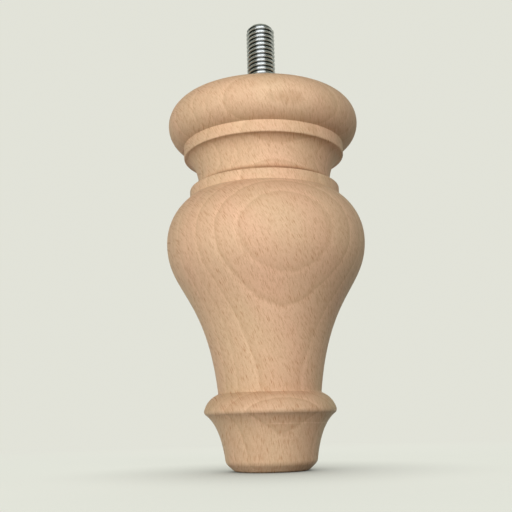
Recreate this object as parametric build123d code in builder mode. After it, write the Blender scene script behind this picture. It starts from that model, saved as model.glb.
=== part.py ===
"""Turned wooden furniture leg with a hanger bolt in its top.

The leg stands on its foot. The origin is the middle of the foot's underside and +Z runs up the turning axis.
All lengths are in millimetres.
"""

import os
from math import cos, radians, sin, sqrt, tan

from build123d import *

# Turned leg: overall
leg_height = 100.0

# Top bead, a half round that runs into the flat bearing face
top_bead_diameter = 52.6
top_bead_radius = 6.75

# Upper fillet, the straight band under the top bead
upper_fillet_diameter = 44.2
upper_fillet_height = 3.2

# Cove between the two fillets: it leaves the upper one square, sinks to its throat and rounds out at its root
cove_height = 8.95
cove_throat_diameter = 35.6
cove_pull_diameter = 36.8
cove_root_radius = 0.9

# Lower fillet, the straight band on the belly's shoulder
lower_fillet_diameter = 41.0
lower_fillet_height = 2.9

# Belly: a round shoulder, then an S curve down to the neck
belly_diameter = 53.5
shoulder_radius = 15.0
belly_fullness = 0.32
neck_fullness = 0.66
neck_lean_deg = 6.3
neck_diameter = 27.0

# Ankle bead: a flat round that falls from the neck to a rounded edge, which turns under to meet the foot's hollow
ankle_bead_diameter = 34.5
ankle_bead_radius = 6.0
ankle_edge_radius = 1.15
ankle_edge_rise_deg = 15.0
ankle_edge_turn_deg = 53.0

# Foot: a hollow cone under the bead, with a chamfered edge to stand on
foot_height = 15.2
foot_hollow_pull = 4.8
foot_diameter = 23.6
foot_chamfer_width = 2.3
foot_chamfer_height = 2.1

# Hanger bolt: a machine thread above the wood, a plain shank, and a wood screw with a point
stud_diameter = 8.0
stud_length = 24.0
stud_end_chamfer = 1.2
shank_diameter = 7.1
shank_length = 2.0
wood_screw_diameter = 8.0
wood_screw_length = 16.0
wood_screw_point = 8.0

# Pilot hole, drilled on the axis for the wood screw
pilot_clearance = 0.05
pilot_spare_depth = 1.5
drill_point_deg = 118.0

# Heights of the profile, from the top down
top_bead_middle = leg_height - top_bead_radius
top_bead_center_radius = top_bead_diameter / 2 - top_bead_radius
upper_fillet_reach = upper_fillet_diameter / 2 - top_bead_center_radius
upper_fillet_top = top_bead_middle - sqrt(top_bead_radius**2 - upper_fillet_reach**2)
cove_top = upper_fillet_top - upper_fillet_height
cove_bottom = cove_top - cove_height
shoulder_top = cove_bottom - lower_fillet_height
shoulder_width = (belly_diameter - lower_fillet_diameter) / 2
belly_middle = shoulder_top - sqrt(2 * shoulder_radius * shoulder_width - shoulder_width**2)

# Heights of the profile, from the foot up: the bead's arc runs into the edge's arc at its rise
ankle_edge_center_radius = ankle_bead_diameter / 2 - ankle_edge_radius
ankle_edge_top_radius = ankle_edge_center_radius + ankle_edge_radius * cos(radians(ankle_edge_rise_deg))
ankle_edge_top = foot_height + ankle_edge_radius * sin(radians(ankle_edge_rise_deg))
ankle_bead_center_radius = ankle_edge_top_radius - ankle_bead_radius * cos(radians(ankle_edge_rise_deg))
ankle_bead_center = ankle_edge_top - ankle_bead_radius * sin(radians(ankle_edge_rise_deg))
neck_reach = neck_diameter / 2 - ankle_bead_center_radius
neck_bottom = ankle_bead_center + sqrt(ankle_bead_radius**2 - neck_reach**2)

# The S curve takes up the height that is left between belly and neck
s_curve_height = belly_middle - neck_bottom
belly_handle = belly_fullness * s_curve_height
neck_handle = neck_fullness * s_curve_height
neck_lean = neck_handle * tan(radians(neck_lean_deg))

# Heights along the bolt, and the hole that takes it
stud_end = leg_height + stud_length
wood_screw_top = leg_height - shank_length
point_top = wood_screw_top - wood_screw_length
point_end = point_top - wood_screw_point
pilot_radius = wood_screw_diameter / 2 + pilot_clearance
pilot_bottom = point_end - pilot_spare_depth
drill_point_height = pilot_radius / tan(radians(drill_point_deg / 2))

os.makedirs("parts", exist_ok=True)

# Turned leg: one profile from the axis at the top, down the outside and back, revolved and then drilled
with BuildPart() as turned_leg:
    with BuildSketch(Plane.XZ):
        with BuildLine():
            bearing_face = Line((0, leg_height), (top_bead_center_radius, leg_height))
            top_bead = ThreePointArc(
                bearing_face @ 1,
                (top_bead_diameter / 2, top_bead_middle),
                (upper_fillet_diameter / 2, upper_fillet_top),
            )
            upper_fillet = Line(top_bead @ 1, (upper_fillet_diameter / 2, cove_top))
            cove = Bezier(
                upper_fillet @ 1,
                (cove_pull_diameter / 2, cove_top),
                (cove_throat_diameter / 2, cove_bottom),
            )
            ledge = Line(cove @ 1, (lower_fillet_diameter / 2, cove_bottom))
            lower_fillet = Line(ledge @ 1, (lower_fillet_diameter / 2, shoulder_top))
            shoulder = RadiusArc(lower_fillet @ 1, (belly_diameter / 2, belly_middle), shoulder_radius)
            s_curve = Bezier(
                shoulder @ 1,
                (belly_diameter / 2, belly_middle - belly_handle),
                (neck_diameter / 2 + neck_lean, neck_bottom + neck_handle),
                (neck_diameter / 2, neck_bottom),
            )
            ankle_bead = RadiusArc(s_curve @ 1, (ankle_edge_top_radius, ankle_edge_top), ankle_bead_radius)
            ankle_edge = JernArc(
                ankle_bead @ 1, ankle_bead % 1, ankle_edge_radius, -ankle_edge_rise_deg - ankle_edge_turn_deg
            )
            foot_hollow = Bezier(
                ankle_edge @ 1,
                ankle_edge @ 1 + (ankle_edge % 1) * foot_hollow_pull,
                (foot_diameter / 2, foot_chamfer_height),
            )
            foot_chamfer = Line(foot_hollow @ 1, (foot_diameter / 2 - foot_chamfer_width, 0))
            Polyline(foot_chamfer @ 1, (0, 0), bearing_face @ 0)
        make_face()
        cove_root = vertices().sort_by_distance(cove @ 1)[0]
        fillet(cove_root, cove_root_radius)
    revolve(axis=Axis.Z)

    with BuildSketch(Plane.XZ):
        with BuildLine():
            Polyline(
                (0, leg_height),
                (pilot_radius, leg_height),
                (pilot_radius, pilot_bottom),
                (0, pilot_bottom - drill_point_height),
                close=True,
            )
        make_face()
    revolve(axis=Axis.Z, mode=Mode.SUBTRACT)

# Hanger bolt: half its outline from the stud's end down to the screw's point, revolved
with BuildPart() as hanger_bolt:
    with BuildSketch(Plane.XZ):
        with BuildLine():
            Polyline(
                (0, stud_end),
                (stud_diameter / 2 - stud_end_chamfer, stud_end),
                (stud_diameter / 2, stud_end - stud_end_chamfer),
                (stud_diameter / 2, leg_height),
                (shank_diameter / 2, leg_height),
                (shank_diameter / 2, wood_screw_top),
                (wood_screw_diameter / 2, wood_screw_top),
                (wood_screw_diameter / 2, point_top),
                (0, point_end),
                close=True,
            )
        make_face()
    revolve(axis=Axis.Z)

turned_leg.part.label = "turned_leg"
hanger_bolt.part.label = "hanger_bolt"

export_step(turned_leg.part, "parts/turned_leg.step")
export_step(hanger_bolt.part, "parts/hanger_bolt.step")
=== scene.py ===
"""Turned beech furniture leg with a hanger bolt, standing on a pale floor in soft light.

Sizes are written in millimetres and turned into metres where a mesh, lamp or camera is made.
The origin is the middle of the foot's underside, and +Z runs up the turning axis.
"""

from math import acos, asin, cos, degrees, radians, sin, sqrt, tan

import bpy
import numpy as np
from mathutils import Matrix, Vector


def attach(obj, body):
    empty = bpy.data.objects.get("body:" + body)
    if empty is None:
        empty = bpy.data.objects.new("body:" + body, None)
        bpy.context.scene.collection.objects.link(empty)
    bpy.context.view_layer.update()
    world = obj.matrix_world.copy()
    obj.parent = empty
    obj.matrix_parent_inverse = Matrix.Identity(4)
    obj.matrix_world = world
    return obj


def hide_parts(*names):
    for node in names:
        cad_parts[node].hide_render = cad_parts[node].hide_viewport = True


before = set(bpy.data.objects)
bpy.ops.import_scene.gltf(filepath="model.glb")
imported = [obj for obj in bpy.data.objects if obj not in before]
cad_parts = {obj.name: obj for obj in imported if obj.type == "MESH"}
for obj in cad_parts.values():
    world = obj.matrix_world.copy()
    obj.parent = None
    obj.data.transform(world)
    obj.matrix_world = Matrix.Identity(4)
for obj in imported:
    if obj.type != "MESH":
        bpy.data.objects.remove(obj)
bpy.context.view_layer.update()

# Turned leg: one piece of unfinished beech, turned between centres on a lathe and sanded while it spins.
# A pilot hole runs down its axis for the hanger bolt, and every arris is softened by the sandpaper.
millimetre = 0.001
leg_height = 100.0
top_bead_diameter = 52.6
top_bead_radius = 6.75
upper_fillet_diameter = 44.2
upper_fillet_height = 3.2
cove_height = 8.95
cove_throat_diameter = 35.6
cove_pull_diameter = 36.8
quirk_depth = 0.55
quirk_rise = 0.85
quirk_half_height = 0.90
lower_fillet_diameter = 41.0
lower_fillet_height = 2.9
belly_diameter = 53.5
shoulder_radius = 15.0
belly_fullness = 0.32
neck_fullness = 0.66
neck_lean_deg = 6.3
neck_diameter = 27.0
ankle_bead_diameter = 34.5
ankle_bead_radius = 6.0
ankle_edge_radius = 1.15
ankle_edge_rise_deg = 15.0
ankle_edge_turn_deg = 53.0
foot_height = 15.2
foot_hollow_pull = 4.8
foot_diameter = 23.6
foot_chamfer_width = 2.3
foot_chamfer_height = 2.1
pilot_radius = 4.05
pilot_bottom = 72.5
drill_point_height = 2.43

# How far back each kind of corner is eased
pilot_floor_ease = 0.2
pilot_mouth_ease = 0.25
crease_ease = 0.15
arris_ease = 0.45
cove_root_ease = 0.95
neck_ease = 0.35
foot_ease = 0.8

# Fineness of the mesh: points on a run before its rows are picked, and on an eased corner, columns round
# the axis, and the radius of the small ring round each pole
run_points = 400
corner_points = 9
leg_columns = 256
pole_radius = 0.3


def straight(start, end):
    """Points of a line: the start plus a share of the way to the end, the share running from 0 to 1."""
    share = np.linspace(0, 1, run_points)[:, None]
    return (1 - share) * np.array(start, float) + share * np.array(end, float)


def rounded(center, radius, first_deg, last_deg):
    """Points of an arc: the centre plus the radius times the cosine and sine of an angle along it."""
    angle = np.radians(np.linspace(first_deg, last_deg, run_points))
    return np.array(center, float) + radius * np.stack([np.cos(angle), np.sin(angle)], axis=1)


def pulled(*pulls):
    """Points of a Bezier curve, by repeated cuts: each pair of control points gives the point that lies the
    same share of the way between them, until one point is left."""
    share = np.linspace(0, 1, run_points)[:, None]
    points = [np.array(pull, float) + 0 * share for pull in pulls]
    while len(points) > 1:
        points = [(1 - share) * a + share * b for a, b in zip(points, points[1:])]
    return points[0]


def eased_outline(runs):
    """Runs of points joined end to end, each given with its rows and the ease of the corner at its end. The
    rows are gathered at both ends of a run by a half cosine. At a corner both runs are cut back by the
    ease, and a quadratic curve with the corner as its control point rounds it off."""
    share = np.linspace(0, 1, corner_points)[:, None]
    outline = []
    ease_before = 0
    for run, rows, ease_after in runs:
        length = np.append(0, np.cumsum(np.hypot(*np.diff(run, axis=0).T)))
        gathered = (1 - np.cos(np.linspace(0, np.pi, rows))) / 2
        place = ease_before + (length[-1] - ease_before - ease_after) * gathered
        piece = np.stack([np.interp(place, length, run[:, 0]), np.interp(place, length, run[:, 1])], axis=1)
        if ease_before:
            before, corner, after = outline[-1][-1], run[0], piece[0]
            curve = (1 - share) ** 2 * before + 2 * share * (1 - share) * corner + share**2 * after
            outline += [curve[1:-1], piece]
        else:
            outline.append(piece[1:] if outline else piece)
        ease_before = ease_after
    return np.concatenate(outline)


def spun(radius, height, columns):
    """Rings round the axis: the radius times the cosine and sine of the turn, at the height. Radius and
    height have a row for each ring, and one column, or one for each turn."""
    turn = np.linspace(0, 2 * np.pi, columns, endpoint=False)
    return np.stack([radius * np.cos(turn), radius * np.sin(turn), height + 0 * turn], axis=-1)


def closed_skin(name, rings, first_pole, last_pole):
    """A closed mesh from rings of points round the axis, an array of rows by columns by xyz: quads between
    neighbouring rings, the last column joined to the first, and a fan of triangles from each end ring to
    its pole."""
    rows, columns = rings.shape[:2]
    number = np.arange(rows * columns).reshape(rows, columns)
    beside = np.roll(number, -1, axis=1)
    quads = np.stack([number[:-1], number[1:], beside[1:], beside[:-1]], axis=-1).reshape(-1, 4)
    first, last = rows * columns, rows * columns + 1
    first_fan = np.stack([np.full(columns, first), number[0], beside[0]], axis=-1)
    last_fan = np.stack([number[-1], np.full(columns, last), beside[-1]], axis=-1)
    points = np.concatenate([rings.reshape(-1, 3), [first_pole, last_pole]]) * millimetre
    mesh = bpy.data.meshes.new(name)
    mesh.from_pydata(points.tolist(), [], quads.tolist() + first_fan.tolist() + last_fan.tolist())
    mesh.polygons.foreach_set("use_smooth", np.ones(len(mesh.polygons), bool))
    mesh.update()
    piece = bpy.data.objects.new(name, mesh)
    bpy.context.scene.collection.objects.link(piece)
    return piece


# Heights and radii of the profile: from the top down, from the foot up, and the S curve takes what is left
top_bead_middle = leg_height - top_bead_radius
top_bead_center_radius = top_bead_diameter / 2 - top_bead_radius
upper_fillet_reach = upper_fillet_diameter / 2 - top_bead_center_radius
upper_fillet_top = top_bead_middle - sqrt(top_bead_radius**2 - upper_fillet_reach**2)
top_bead_end_deg = -degrees(acos(upper_fillet_reach / top_bead_radius))
cove_top = upper_fillet_top - upper_fillet_height
cove_bottom = cove_top - cove_height
shoulder_top = cove_bottom - lower_fillet_height
shoulder_width = (belly_diameter - lower_fillet_diameter) / 2
belly_middle = shoulder_top - sqrt(2 * shoulder_radius * shoulder_width - shoulder_width**2)
shoulder_start_deg = degrees(asin((shoulder_top - belly_middle) / shoulder_radius))
ankle_rise = radians(ankle_edge_rise_deg)
ankle_turn = radians(ankle_edge_turn_deg)
ankle_edge_center_radius = ankle_bead_diameter / 2 - ankle_edge_radius
ankle_center_gap = ankle_edge_radius - ankle_bead_radius
ankle_bead_center_radius = ankle_edge_center_radius + ankle_center_gap * cos(ankle_rise)
ankle_bead_center = foot_height + ankle_center_gap * sin(ankle_rise)
neck_reach = neck_diameter / 2 - ankle_bead_center_radius
neck_bottom = ankle_bead_center + sqrt(ankle_bead_radius**2 - neck_reach**2)
ankle_bead_start_deg = degrees(acos(neck_reach / ankle_bead_radius))
s_curve_height = belly_middle - neck_bottom
neck_lean = neck_fullness * s_curve_height * tan(radians(neck_lean_deg))
drill_point_start = pilot_bottom - drill_point_height * (1 - pole_radius / pilot_radius)

# Runs of the profile, as radius and height: up the pilot hole, over the top and down to the underside
drill_point = straight((pole_radius, drill_point_start), (pilot_radius, pilot_bottom))
pilot_wall = straight((pilot_radius, pilot_bottom), (pilot_radius, leg_height))
bearing_face = straight((pilot_radius, leg_height), (top_bead_center_radius, leg_height))
top_bead = rounded((top_bead_center_radius, top_bead_middle), top_bead_radius, 90, top_bead_end_deg)
upper_fillet = straight((upper_fillet_diameter / 2, upper_fillet_top), (upper_fillet_diameter / 2, cove_top))
cove = pulled(
    (upper_fillet_diameter / 2, cove_top),
    (cove_pull_diameter / 2, cove_top),
    (cove_throat_diameter / 2, cove_bottom),
)
ledge = straight((cove_throat_diameter / 2, cove_bottom), (lower_fillet_diameter / 2, cove_bottom))
lower_fillet = straight((lower_fillet_diameter / 2, cove_bottom), (lower_fillet_diameter / 2, shoulder_top))
shoulder = rounded(
    (belly_diameter / 2 - shoulder_radius, belly_middle), shoulder_radius, shoulder_start_deg, 0
)
s_curve = pulled(
    (belly_diameter / 2, belly_middle),
    (belly_diameter / 2, belly_middle - belly_fullness * s_curve_height),
    (neck_diameter / 2 + neck_lean, neck_bottom + neck_fullness * s_curve_height),
    (neck_diameter / 2, neck_bottom),
)
ankle_bead = rounded(
    (ankle_bead_center_radius, ankle_bead_center),
    ankle_bead_radius,
    ankle_bead_start_deg,
    ankle_edge_rise_deg,
)
ankle_edge = rounded(
    (ankle_edge_center_radius, foot_height), ankle_edge_radius, ankle_edge_rise_deg, -ankle_edge_turn_deg
)
foot_hollow = pulled(
    ankle_edge[-1],
    ankle_edge[-1] - foot_hollow_pull * np.array([sin(ankle_turn), cos(ankle_turn)]),
    (foot_diameter / 2, foot_chamfer_height),
)
foot_chamfer = straight((foot_diameter / 2, foot_chamfer_height), (foot_diameter / 2 - foot_chamfer_width, 0))
underside = straight((foot_diameter / 2 - foot_chamfer_width, 0), (pole_radius, 0))
turned_outline = eased_outline(
    [
        (drill_point, 6, pilot_floor_ease),
        (pilot_wall, 10, pilot_mouth_ease),
        (bearing_face, 12, 0),
        (top_bead, 44, crease_ease),
        (upper_fillet, 12, arris_ease),
        (cove, 30, cove_root_ease),
        (ledge, 8, arris_ease),
        (lower_fillet, 12, crease_ease),
        (shoulder, 26, 0),
        (s_curve, 60, neck_ease),
        (ankle_bead, 20, 0),
        (ankle_edge, 10, 0),
        (foot_hollow, 26, foot_ease),
        (foot_chamfer, 10, foot_ease),
        (underside, 10, 0),
    ]
)

# The quirk is a fine groove at the cove's root, outside the pilot hole and inside the lower fillet: the
# radius drops by a depth that fades evenly to nothing over its half height, above and below
outline_radius, outline_height = turned_outline.T
cove_rows = (outline_radius > 2 * pilot_radius) & (outline_radius < lower_fillet_diameter / 2)
quirk_share = 1 - np.abs(outline_height - cove_bottom - quirk_rise) / quirk_half_height
turned_outline[:, 0] -= np.where(cove_rows, np.maximum(quirk_share, 0) * quirk_depth, 0)
leg_rings = spun(turned_outline[:, :1], turned_outline[:, 1:], leg_columns)
leg = closed_skin("beech_leg", leg_rings, (0, 0, pilot_bottom - drill_point_height), (0, 0, 0))


def new_material(name):
    """A material with an empty node tree, and that tree."""
    material = bpy.data.materials.new(name)
    material.use_nodes = True
    material.node_tree.nodes.clear()
    return material, material.node_tree


def add_node(tree, kind, sockets=None, **settings):
    """Adds a node with these settings, and gives each named or numbered input its value or its link."""
    node = tree.nodes.new("ShaderNode" + kind)
    for setting, value in settings.items():
        setattr(node, setting, value)
    for socket, value in (sockets or {}).items():
        if isinstance(value, bpy.types.NodeSocket):
            tree.links.new(value, node.inputs[socket])
        else:
            node.inputs[socket].default_value = value
    return node


def add_math(tree, operation, first, second=0.0, third=0.0):
    """A Math node's result for two or three values or sockets."""
    return add_node(tree, "Math", {0: first, 1: second, 2: third}, operation=operation).outputs[0]


def add_square(tree, value):
    """A value times itself."""
    return add_math(tree, "MULTIPLY", value, value)


def add_range(tree, value, low, high, at_low=0.0, at_high=1.0, step="LINEAR"):
    """A Map Range node's result: at_low up to the low value, at_high from the high one, and between them an
    even slope, or the S of a smooth step."""
    sockets = {0: value, 1: low, 2: high, 3: at_low, 4: at_high}
    return add_node(tree, "MapRange", sockets, interpolation_type=step).outputs[0]


def add_dot(tree, vector, way):
    """How far a vector reaches along a way: their dot product."""
    return add_node(tree, "VectorMath", {0: vector, 1: way}, operation="DOT_PRODUCT").outputs["Value"]


def add_mix(tree, share, first, second, blend="MIX"):
    """The first colour, with a share of the second mixed into it or multiplied with it."""
    sockets = {0: share, 6: first, 7: second}
    return add_node(tree, "Mix", sockets, data_type="RGBA", blend_type=blend).outputs[2]


def add_ramp(tree, factor, stops, interpolation="LINEAR"):
    """A Color Ramp's colour at a factor, through stops of (place, colour)."""
    ramp = add_node(tree, "ValToRGB", {0: factor})
    ramp.color_ramp.interpolation = interpolation
    marks = ramp.color_ramp.elements
    marks.remove(marks[1])
    marks[0].position = stops[0][0]
    marks[0].color = (*stops[0][1], 1.0)
    for place, color in stops[1:]:
        marks.new(place).color = (*color, 1.0)
    return ramp.outputs[0]


def add_place(tree):
    """The place on a turned piece in millimetres, its distance from the axis, which is the length of its X
    and Y, and its height."""
    spot = add_node(tree, "TexCoord").outputs["Object"]
    place = add_node(tree, "VectorMath", {0: spot, "Scale": 1 / millimetre}, operation="SCALE").outputs[0]
    sides = add_node(tree, "SeparateXYZ", {0: place}).outputs
    level_place = add_node(tree, "CombineXYZ", {0: sides[0], 1: sides[1]}).outputs[0]
    from_axis = add_node(tree, "VectorMath", {0: level_place}, operation="LENGTH").outputs["Value"]
    return place, from_axis, sides[2]


def grey(value):
    """The same value in red, green and blue."""
    return (value, value, value)


def direction(azimuth_deg, elevation_deg):
    """A way out from the axis. Azimuth 0 is the front and 90 the right: X is its sine and -Y its cosine,
    both times the cosine of the elevation, and Z is the elevation's sine."""
    azimuth, elevation = radians(azimuth_deg), radians(elevation_deg)
    return Vector((sin(azimuth) * cos(elevation), -cos(azimuth) * cos(elevation), sin(elevation)))


# Beech: the growth rings are nearly flat sheets that face the front, a little to the right and down, so the
# belly cuts them into ovals. Rays are short dark flecks that lean with the grain, and wider flakes at the
# sides. Low down the grain straightens: across it, a place gains a share of the square of its drop.
beech_color = (0.738, 0.486, 0.314)
latewood_color = (0.660, 0.422, 0.262)
earlywood_color = (0.802, 0.540, 0.355)
fleck_color = (0.460, 0.190, 0.080)
ring_facing_deg = 12.6
ring_dip_deg = 5.8
grain_lean_deg = 24.0
straighter_below = 30.0
straightening = 0.0060

deep_way = direction(ring_facing_deg, -ring_dip_deg)
upright_way = (Vector((0, 0, 1)) - deep_way * deep_way.z).normalized()
along_way = Matrix.Rotation(radians(grain_lean_deg), 3, deep_way) @ upright_way
across_way = along_way.cross(deep_way)
plain = grey(1.0)

beech, wood = new_material("sanded_beech")
wood_place, from_axis, wood_height = add_place(wood)
wood_normal = add_node(wood, "TexCoord").outputs["Normal"]
across, along, deep = [add_dot(wood, wood_place, way) for way in (across_way, along_way, deep_way)]
drop = add_math(wood, "MAXIMUM", add_math(wood, "SUBTRACT", straighter_below, wood_height), 0.0)
across = add_math(wood, "MULTIPLY_ADD", add_square(wood, drop), straightening, across)


def grain_place(sizes, sway=0.0):
    """The place in the wood, counted in these sizes across the grain, along it and into the ring sheets, in
    millimetres; the sway is added to the first."""
    ways = (add_math(wood, "ADD", across, sway), along, deep)
    counted = [add_math(wood, "DIVIDE", way, size) for way, size in zip(ways, sizes)]
    return add_node(wood, "CombineXYZ", dict(enumerate(counted))).outputs[0]


def grain_noise(sizes, detail=2.0, low=0.0, high=1.0):
    """Noise whose spots have these sizes, with its middle half spread over low to high."""
    sockets = {"Vector": grain_place(sizes), "Scale": 1.0, "Detail": detail}
    noise = add_node(wood, "TexNoise", sockets).outputs[0]
    return add_range(wood, noise, 0.25, 0.75, low, high)


def toned(color, share, first_tone, last_tone):
    """A colour multiplied by a tone that runs evenly from the first to the last with a share of 0 to 1."""
    tone = add_ramp(wood, share, [(0.0, first_tone), (1.0, last_tone)])
    return add_mix(wood, 1.0, color, tone, "MULTIPLY")


# Rings: the depth into the wavy sheets becomes a count that gains 1 at each ring's level, the years being
# of unequal width; each year ends dark, and the next one starts light. The sheets swell at the cove's root
# and at the foot, and above the belly they lean back by an even share of the height.
wave_size = (24.0, 60.0, 24.0)
wave_depth = 0.5
ripple_size = (1.6, 7.0, 3.0)
ripple_depth = 0.16
cove_swell = 1.7
cove_swell_reach = 2.9
foot_swell = 2.0
foot_swell_start = 20.5
foot_swell_full = 13.2
sheets_lean_above = 79.0
sheet_lean = 0.135
ring_span = 56.0
ring_levels = (24.6, 21.4, 17.8, 14.5, 10.3, 6.9, 3.3, -0.5, -4.2, -8.1, -11.7, -15.6, -19.3, -23.2)
ring_strengths = (0.40, 0.45, 0.80, 1.00, 0.80, 0.50, 0.65, 0.40, 0.75, 0.45, 0.65, 0.50, 0.60, 0.45)
late_tones = ((0.0, 0.50), (0.24, 0.45), (0.42, 0.12), (0.46, 0.08))
early_tones = ((0.53, 0.90), (0.58, 0.94), (0.78, 0.58), (1.0, 0.50))

wave = grain_noise(wave_size, low=-wave_depth, high=wave_depth)
ripple = grain_noise(ripple_size, low=-ripple_depth, high=ripple_depth)
quirk_radius = (cove_throat_diameter + lower_fillet_diameter) / 4
in_cove = add_math(wood, "LESS_THAN", from_axis, quirk_radius)
off_quirk = add_math(wood, "ABSOLUTE", add_math(wood, "SUBTRACT", wood_height, cove_bottom + quirk_rise))
swell_at_cove = add_range(wood, off_quirk, 0.0, cove_swell_reach, cove_swell, 0.0, "SMOOTHSTEP")
swell_at_foot = add_range(wood, wood_height, foot_swell_full, foot_swell_start, foot_swell, 0.0, "SMOOTHSTEP")
swell = add_math(wood, "MULTIPLY_ADD", swell_at_cove, in_cove, swell_at_foot)
rise = add_math(wood, "MAXIMUM", add_math(wood, "SUBTRACT", wood_height, sheets_lean_above), 0.0)
bend = add_math(wood, "MULTIPLY_ADD", rise, -sheet_lean, swell)
waviness = add_math(wood, "ADD", wave, ripple)
sheet_depth = add_math(wood, "ADD", waviness, add_math(wood, "ADD", bend, deep))

ring_total = len(ring_levels)
depth_share = add_math(wood, "MULTIPLY_ADD", sheet_depth, -1 / ring_span, 0.5)
count_stops = [
    (0.5 - level / ring_span, grey((number + 0.5) / ring_total)) for number, level in enumerate(ring_levels)
]
ring_count = add_math(wood, "MULTIPLY", add_ramp(wood, depth_share, count_stops), ring_total)
ring_number = add_math(wood, "FLOOR", ring_count)
strength_stops = [(number / ring_total, grey(strength)) for number, strength in enumerate(ring_strengths)]
strength_place = add_math(wood, "MULTIPLY_ADD", ring_number, 1 / ring_total, 0.5 / ring_total)
ring_strength = add_ramp(wood, strength_place, strength_stops, "CONSTANT")
year_stops = [(share, grey(tone)) for share, tone in (*late_tones, *early_tones)]
year_tone = add_ramp(wood, add_math(wood, "FRACT", ring_count), year_stops)
contrast = add_math(wood, "MULTIPLY", add_math(wood, "SUBTRACT", year_tone, 0.5), ring_strength)
ring_stops = [(0.0, latewood_color), (0.5, beech_color), (1.0, earlywood_color)]
ring_color = add_ramp(wood, add_math(wood, "ADD", contrast, 0.5), ring_stops)

# Fibres, speckle and patches of tone lie over the rings, and painted shade darkens the wood towards the foot
fibre_size = (0.32, 2.2, 3.0)
fibre_tones = ((0.962, 0.953, 0.940), (1.038, 1.047, 1.060))
speckle_size = (0.22, 0.34, 0.34)
speckle_tones = ((0.945, 0.930, 0.912), (1.055, 1.070, 1.088))
patch_size = (11.0, 26.0, 11.0)
patch_tones = ((1.042, 0.988, 0.990), (0.968, 1.010, 0.968))
# Painted shade: the light falls off towards the foot, and this tone darkens the wood's colour there instead
painted_foot_shade = (0.925, 0.950, 0.935)

fibre = grain_noise(fibre_size)
speckle = grain_noise(speckle_size, detail=1.0)
patch = grain_noise(patch_size, detail=1.0)
above_foot_shade = add_range(wood, wood_height, foot_height, straighter_below, step="SMOOTHSTEP")
fibred = toned(ring_color, fibre, *fibre_tones)
speckled = toned(fibred, speckle, *speckle_tones)
patched = toned(speckled, patch, *patch_tones)
foot_shaded = toned(patched, above_foot_shade, painted_foot_shade, plain)

# Rays: coarse flecks, fainter towards the top, and fine ones; both fade with the square of how far the
# surface faces to the side
sway_size = (7.0, 16.0, 12.0)
sway_width = 0.5
fleck_core = 0.04
fleck_contrast = 1.1
coarse_fleck_size = (0.34, 2.8)
coarse_fleck_edge = 0.42
coarse_fleck_share = 0.65
coarse_depth_below = 0.70
coarse_depth_above = 0.46
coarse_fading_start = 20.0
coarse_fading_end = 95.0
fine_fleck_size = (0.27, 1.7)
fine_fleck_edge = 0.46
fine_fleck_share = 0.80
fine_depth = 0.56
side_fading = 0.25

sway = grain_noise(sway_size, low=-sway_width, high=sway_width)


def ray_flecks(size, edge, filled):
    """Spindles round scattered points, 1 within the core and 0 outside the edge: cells of this size across
    the grain and along it, of which only a share are filled, each with its own depth of colour. A ray runs
    on into the wood."""
    cells = add_node(
        wood,
        "TexVoronoi",
        {"Vector": grain_place((*size, 1.0), sway), "Scale": 1.0, "Randomness": 1.0},
        voronoi_dimensions="2D",
    )
    spindle = add_range(wood, cells.outputs["Distance"], fleck_core, edge, 1.0, 0.0, "SMOOTHSTEP")
    chance = add_node(wood, "SeparateColor", {0: cells.outputs["Color"]}).outputs[0]
    depth = add_math(wood, "POWER", add_range(wood, chance, 1 - filled, 1.0), fleck_contrast)
    return add_math(wood, "MULTIPLY", spindle, depth)


coarse_flecks = ray_flecks(coarse_fleck_size, coarse_fleck_edge, coarse_fleck_share)
fine_flecks = ray_flecks(fine_fleck_size, fine_fleck_edge, fine_fleck_share)
coarse_depth = add_range(
    wood, wood_height, coarse_fading_start, coarse_fading_end, coarse_depth_below, coarse_depth_above
)
coarse_share = add_math(wood, "MULTIPLY", coarse_flecks, coarse_depth)
both_shares = add_math(wood, "MULTIPLY_ADD", fine_flecks, fine_depth, coarse_share)
facing_side = add_square(wood, add_dot(wood, wood_normal, across_way))
side_depth = add_math(wood, "MULTIPLY_ADD", facing_side, -side_fading, 1.0)
fleck_share = add_math(wood, "MULTIPLY", both_shares, side_depth)
flecked = add_mix(wood, fleck_share, foot_shaded, (*fleck_color, 1))

# End grain, where the surface turns across the fibres, drinks light and looks darker and redder
end_grain_tone = (0.82, 0.78, 0.75)
facing_end = add_square(wood, add_dot(wood, wood_normal, along_way))
end_darkened = toned(flecked, facing_end, plain, end_grain_tone)

# The quirk at the cove's root is darkened with painted shade, for the shade that gathers in this crease
quirk_shade_tone = (0.62, 0.58, 0.53)
quirk_shade_core = 0.25
quirk_shade_edge = 0.75
in_quirk_shade = add_range(wood, off_quirk, quirk_shade_core, quirk_shade_edge, 1.0, 0.0, "SMOOTHSTEP")
quirk_shaded = toned(end_darkened, add_math(wood, "MULTIPLY", in_quirk_shade, in_cove), plain, quirk_shade_tone)

# One fine pale line on the foot is left by the tool, on the right of the side that the leg is seen from
line_tone = (1.10, 1.14, 1.17)
line_height = 11.8
line_core = 0.08
line_edge = 0.24
line_start = -2.5
line_full = 0.5
off_line = add_math(wood, "ABSOLUTE", add_math(wood, "SUBTRACT", wood_height, line_height))
on_line = add_range(wood, off_line, line_core, line_edge, 1.0, 0.0)
to_right = add_range(wood, add_dot(wood, wood_place, (1, 0, 0)), line_start, line_full)
lined = toned(quirk_shaded, add_math(wood, "MULTIPLY", on_line, to_right), plain, line_tone)

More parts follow.
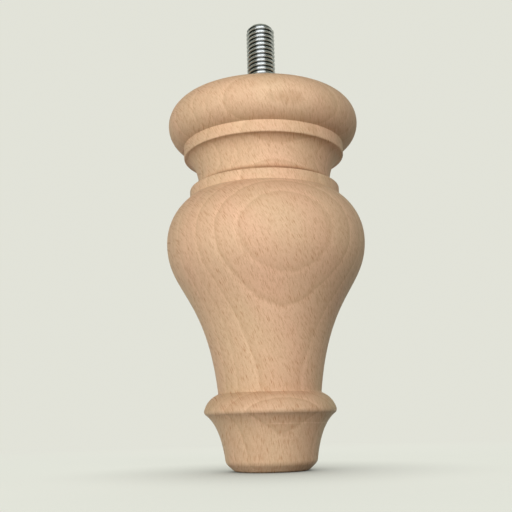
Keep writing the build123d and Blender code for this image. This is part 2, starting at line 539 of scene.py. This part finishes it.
# Relief: open fibres, rays a little sunk, and the sanding's fine circles round the axis
circles_per_millimetre = 5.0
circles_height = 0.25
ray_sink = 0.8
relief_strength = 0.35
relief_height = 0.05
wood_roughness = 0.46
fibre_roughness = 0.14
wood_gloss = 0.30
circles_place = add_node(wood, "CombineXYZ", {0: from_axis, 1: wood_height}).outputs[0]
circles = add_node(
    wood, "TexNoise", {"Vector": circles_place, "Scale": circles_per_millimetre, "Detail": 2.0}
).outputs[0]
sunk = add_math(wood, "MULTIPLY_ADD", coarse_flecks, -ray_sink, fibre)
relief = add_math(wood, "MULTIPLY_ADD", circles, circles_height, sunk)
wood_bump = add_node(
    wood, "Bump", {"Strength": relief_strength, "Distance": relief_height * millimetre, "Height": relief}
).outputs[0]
roughness = add_math(wood, "MULTIPLY_ADD", fibre, fibre_roughness, wood_roughness)
wood_surface = add_node(
    wood,
    "BsdfPrincipled",
    {"Base Color": lined, "Roughness": roughness, "Specular IOR Level": wood_gloss, "Normal": wood_bump},
)
add_node(wood, "OutputMaterial", {0: wood_surface.outputs[0]})
leg.data.materials.append(beech)
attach(leg, "root")
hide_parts("turned_leg")

# Hanger bolt: zinc-plated steel, with a rolled M8 machine thread above the wood, a short plain shank at the
# face of the wood, and a coarse wood screw that cuts its own thread down the pilot hole.
stud_end = 124.0
stud_radius = 4.0
stud_pitch = 1.25
stud_root_radius = 3.233
stud_root_flat = 0.2
stud_flank_span = 0.68
stud_softening = 0.4
stud_end_chamfer = 1.2
shank_radius = 3.55
shank_bottom = 98.0
thread_run_out = 0.9
wood_screw_radius = 3.98
wood_screw_root_radius = 2.85
wood_screw_pitch = 3.2
wood_screw_root_flat = 0.5
wood_screw_sharpness = 1.3
point_top = 82.0
point_end = 74.0
point_fullness = 0.8
point_pole_height = 0.05
end_face_pole_radius = 0.4

# Fineness of the bolt's mesh
stud_rows = 400
shank_rows = 8
wood_screw_rows = 240
end_face_rows = 5
bolt_columns = 96


def smooth_step(low, high, value):
    """0 below low, 1 above high, and three times the square less twice the cube of the share between."""
    share = np.clip((value - low) / (high - low), 0, 1)
    return share * share * (3 - 2 * share)


def thread_wave(height, turn, pitch):
    """A right-hand thread as a triangle wave, 0 at the root and 1 at the crest: its phase is the height in
    pitches less the turn in rounds."""
    return np.abs(2 * np.mod(height / pitch - turn / (2 * np.pi), 1) - 1)


def threaded(height, turn):
    """The bolt's radius at each height and turn. The stud's flanks are the thread's wave, flattened and
    softened at root and crest, and run out into the shank; the end's chamfer caps them. The wood screw has
    narrow crests between wide roots, and shrinks to its point by a power of the share of the way down."""
    flank = np.clip((thread_wave(height, turn, stud_pitch) - stud_root_flat) / stud_flank_span, 0, 1)
    flank = (1 - stud_softening) * flank + stud_softening * smooth_step(0, 1, flank)
    stud = stud_root_radius + (stud_radius - stud_root_radius) * flank
    stud = shank_radius + (stud - shank_radius) * smooth_step(leg_height, leg_height + thread_run_out, height)
    stud = np.minimum(stud, stud_radius - stud_end_chamfer + stud_end - height)
    crest = smooth_step(wood_screw_root_flat, 1, thread_wave(height, turn, wood_screw_pitch))
    crest = crest**wood_screw_sharpness
    screw = wood_screw_root_radius + (wood_screw_radius - wood_screw_root_radius) * crest
    screw = shank_radius + (screw - shank_radius) * smooth_step(0, thread_run_out, shank_bottom - height)
    screw = screw * np.clip((height - point_end) / (point_top - point_end), 0, 1) ** point_fullness
    return np.where(height >= shank_bottom, stud, screw)


bolt_turn = np.linspace(0, 2 * np.pi, bolt_columns, endpoint=False)
bolt_height = np.concatenate(
    [
        np.linspace(stud_end, leg_height, stud_rows, endpoint=False),
        np.linspace(leg_height, shank_bottom, shank_rows, endpoint=False),
        np.linspace(shank_bottom, point_end + point_pole_height, wood_screw_rows),
    ]
)[:, None]
end_face_radius = np.linspace(
    end_face_pole_radius, stud_radius - stud_end_chamfer, end_face_rows, endpoint=False
)[:, None]
bolt_radius = np.concatenate([end_face_radius + 0 * bolt_turn, threaded(bolt_height, bolt_turn)])
bolt_height = np.concatenate([np.full_like(end_face_radius, stud_end), bolt_height])
bolt_rings = spun(bolt_radius, bolt_height, bolt_columns)
bolt = closed_skin("threaded_bolt", bolt_rings, (0, 0, stud_end), (0, 0, point_end))

# Zinc plating, clouded in colour and gloss: its flanks are painted dark, painted shade for the dim room they
# mirror, while crests and roots keep the plating's bright colour
plating_color = (0.66, 0.67, 0.66)
root_color = (0.68, 0.69, 0.69)
flank_shade_color = (0.25, 0.26, 0.255)
flank_start = 0.15
flank_end = 0.7
clouds_per_millimetre = 1.4
cloud_tone = (0.90, 0.91, 0.90)
cloud_start = 0.3
cloud_end = 0.7
scuffs_per_millimetre = 9.0
scuff_strength = 0.1
scuff_height = 0.02
plating_roughness = 0.12
cloud_roughness = 0.14

plating, zinc = new_material("zinc_plating")
zinc_place, zinc_radius = add_place(zinc)[:2]
crest_share = add_range(zinc, zinc_radius, stud_root_radius, stud_radius, step="SMOOTHSTEP")
# The flanks' dark colour is painted shade, not a colour of the plating
crest_and_flank_shade_stops = [(0.0, root_color), (flank_start, flank_shade_color), (flank_end, flank_shade_color), (1.0, plating_color)]
cloud = add_node(
    zinc, "TexNoise", {"Vector": zinc_place, "Scale": clouds_per_millimetre, "Detail": 4.0}
).outputs[0]
clouding = add_ramp(zinc, cloud, [(cloud_start, cloud_tone), (cloud_end, plain)])
clouded_and_flank_shaded = add_mix(zinc, 1.0, add_ramp(zinc, crest_share, crest_and_flank_shade_stops), clouding, "MULTIPLY")
scuffs = add_node(
    zinc, "TexNoise", {"Vector": zinc_place, "Scale": scuffs_per_millimetre, "Detail": 3.0}
).outputs[0]
zinc_bump = add_node(
    zinc, "Bump", {"Strength": scuff_strength, "Distance": scuff_height * millimetre, "Height": scuffs}
).outputs[0]
clouded_roughness = add_math(zinc, "MULTIPLY_ADD", cloud, cloud_roughness, plating_roughness)
zinc_surface = add_node(
    zinc,
    "BsdfPrincipled",
    {"Base Color": clouded_and_flank_shaded, "Metallic": 1.0, "Roughness": clouded_roughness, "Normal": zinc_bump},
)
add_node(zinc, "OutputMaterial", {0: zinc_surface.outputs[0]})
bolt.data.materials.append(plating)
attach(bolt, "root")
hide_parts("hanger_bolt")

# Floor: a plain pale surface that keeps the leg's soft shadow where it stands. Further out it fades into
# the same pale surroundings, so no horizon shows.
floor_size = 6000.0
fade_start = 60.0
fade_end = 300.0
contact_reach = 45.0
contact_samples = 16
pale = (0.760, 0.765, 0.690)
pale_share = 0.805
lit_sheet_color = (0.20, 0.20, 0.185)


def seen_directly(tree):
    """1 for rays that show the surroundings as they are: from the camera, off a gloss or through glass."""
    path = add_node(tree, "LightPath")
    indirect = add_math(tree, "MAXIMUM", path.outputs["Is Glossy Ray"], path.outputs["Is Transmission Ray"])
    return add_math(tree, "MAXIMUM", path.outputs["Is Camera Ray"], indirect)


bpy.ops.mesh.primitive_plane_add(size=floor_size * millimetre)
floor = bpy.context.object
floor.name = "pale_floor"
sheet, ground = new_material("pale_sheet")
floor_place = add_node(ground, "TexCoord").outputs["Object"]
reach = add_node(ground, "VectorMath", {0: floor_place}, operation="LENGTH").outputs["Value"]
fade = add_range(ground, reach, fade_start * millimetre, fade_end * millimetre, step="SMOOTHSTEP")
seen = seen_directly(ground)
contact = add_node(
    ground,
    "AmbientOcclusion",
    {"Color": (*pale, 1), "Distance": contact_reach * millimetre},
    samples=contact_samples,
).outputs[0]
glow_strength = add_math(ground, "MULTIPLY", seen, pale_share)
glow = add_node(ground, "Emission", {"Color": contact, "Strength": glow_strength})
lit_sheet = add_node(ground, "BsdfDiffuse", {"Color": (*lit_sheet_color, 1)})
near = add_node(ground, "AddShader", {0: lit_sheet.outputs[0], 1: glow.outputs[0]})
far = add_node(ground, "Emission", {"Color": (*pale, 1), "Strength": 1.0})
faded = add_node(
    ground, "MixShader", {0: add_math(ground, "MULTIPLY", fade, seen), 1: near.outputs[0], 2: far.outputs[0]}
)
add_node(ground, "OutputMaterial", {0: faded.outputs[0]})
floor.data.materials.append(sheet)

# Room: pale to the camera. It gives the sides and the back of the leg a soft fill. What the plating mirrors
# is dim on the side that the leg is seen from, but for one bright window there, and pale in shade behind.
fill_color = (0.80, 1.0, 0.88)
fill_level = 0.56
fill_start = -0.4
fill_full = 0.4
window_elevation_deg = 15.0
window_edge = 0.70
window_full = 0.89
window_color = (2.42, 2.50, 2.58)
dim = (0.18, 0.20, 0.16)
shaded_pale = (0.34, 0.36, 0.29)
shade_full = 0.5

world = bpy.data.worlds.new("pale_room")
bpy.context.scene.world = world
world.use_nodes = True
room = world.node_tree
room.nodes.clear()
way_out = add_node(room, "TexCoord").outputs["Generated"]
backward = add_dot(room, way_out, (0, 1, 0))
behind = add_range(room, backward, 0.0, shade_full, step="SMOOTHSTEP")
to_window = add_dot(room, way_out, direction(0, window_elevation_deg))
in_window = add_range(room, to_window, window_edge, window_full, step="SMOOTHSTEP")
front_side = add_mix(room, in_window, (*dim, 1), (*window_color, 1))
mirrored = add_mix(room, behind, front_side, (*shaded_pale, 1))
off_gloss = add_node(room, "LightPath").outputs["Is Glossy Ray"]
shown = add_mix(room, off_gloss, (*pale, 1), mirrored)
fill_share = add_range(room, backward, fill_start, fill_full, step="SMOOTHSTEP")
fill_strength = add_math(room, "MULTIPLY", fill_share, fill_level)
fill = add_node(room, "Background", {"Color": (*fill_color, 1), "Strength": fill_strength}).outputs[0]
view = add_node(room, "Background", {"Color": shown, "Strength": 1.0}).outputs[0]
surroundings = add_node(room, "MixShader", {0: seen_directly(room), 1: fill, 2: view}).outputs[0]
add_node(room, "OutputWorld", {0: surroundings})

# Lamps: two long soft panels, low on the side that the leg is seen from, one ahead and one to the left, and
# a third one behind it. A level of 1 makes a white card that faces the lamp render white. They don't show
# in the plating.
lamp_target = Vector((0, 0, 60.0))
lamp_distance = 480.0
lamps = {
    "front_panel": dict(azimuth=9.0, elevation=19.0, width=460.0, height=260.0, level=0.57),
    "left_panel": dict(azimuth=-31.0, elevation=3.0, width=460.0, height=120.0, level=0.62),
    "back_panel": dict(azimuth=178.0, elevation=24.0, width=360.0, height=300.0, level=0.62),
}
for name, lamp in lamps.items():
    light = bpy.data.lights.new(name, "AREA")
    light.shape = "RECTANGLE"
    light.size = lamp["width"] * millimetre
    light.size_y = lamp["height"] * millimetre
    light.energy = lamp["level"] * (np.pi * lamp_distance * millimetre) ** 2
    panel = bpy.data.objects.new(name, light)
    way = direction(lamp["azimuth"], lamp["elevation"])
    panel.location = (lamp_target + lamp_distance * way) * millimetre
    panel.rotation_euler = way.to_track_quat("Z", "Y").to_euler()
    panel.visible_camera = False
    panel.visible_glossy = False
    bpy.context.scene.collection.objects.link(panel)

# Camera: in front of the leg and close to the floor, looking up at it a little, with the photograph's
# viewing angle, roll and framing.
camera_place = Vector((-1.584, -207.78, 11.264)) * millimetre
camera_pitch_deg = 12.28
camera_yaw_deg = 0.325
camera_roll_deg = -1.386
camera_lens = 54.99
camera_sensor = 36.0
camera_clip_start = 10.0
camera = bpy.data.objects.new("camera", bpy.data.cameras.new("camera"))
camera.data.lens = camera_lens
camera.data.sensor_width = camera_sensor
camera.data.clip_start = camera_clip_start * millimetre
camera.matrix_world = (
    Matrix.Translation(camera_place)
    @ Matrix.Rotation(radians(camera_yaw_deg), 4, "Z")
    @ Matrix.Rotation(radians(90 + camera_pitch_deg), 4, "X")
    @ Matrix.Rotation(radians(camera_roll_deg), 4, "Z")
)
bpy.context.scene.collection.objects.link(camera)
bpy.context.scene.camera = camera
bpy.context.scene.view_settings.view_transform = "Standard"
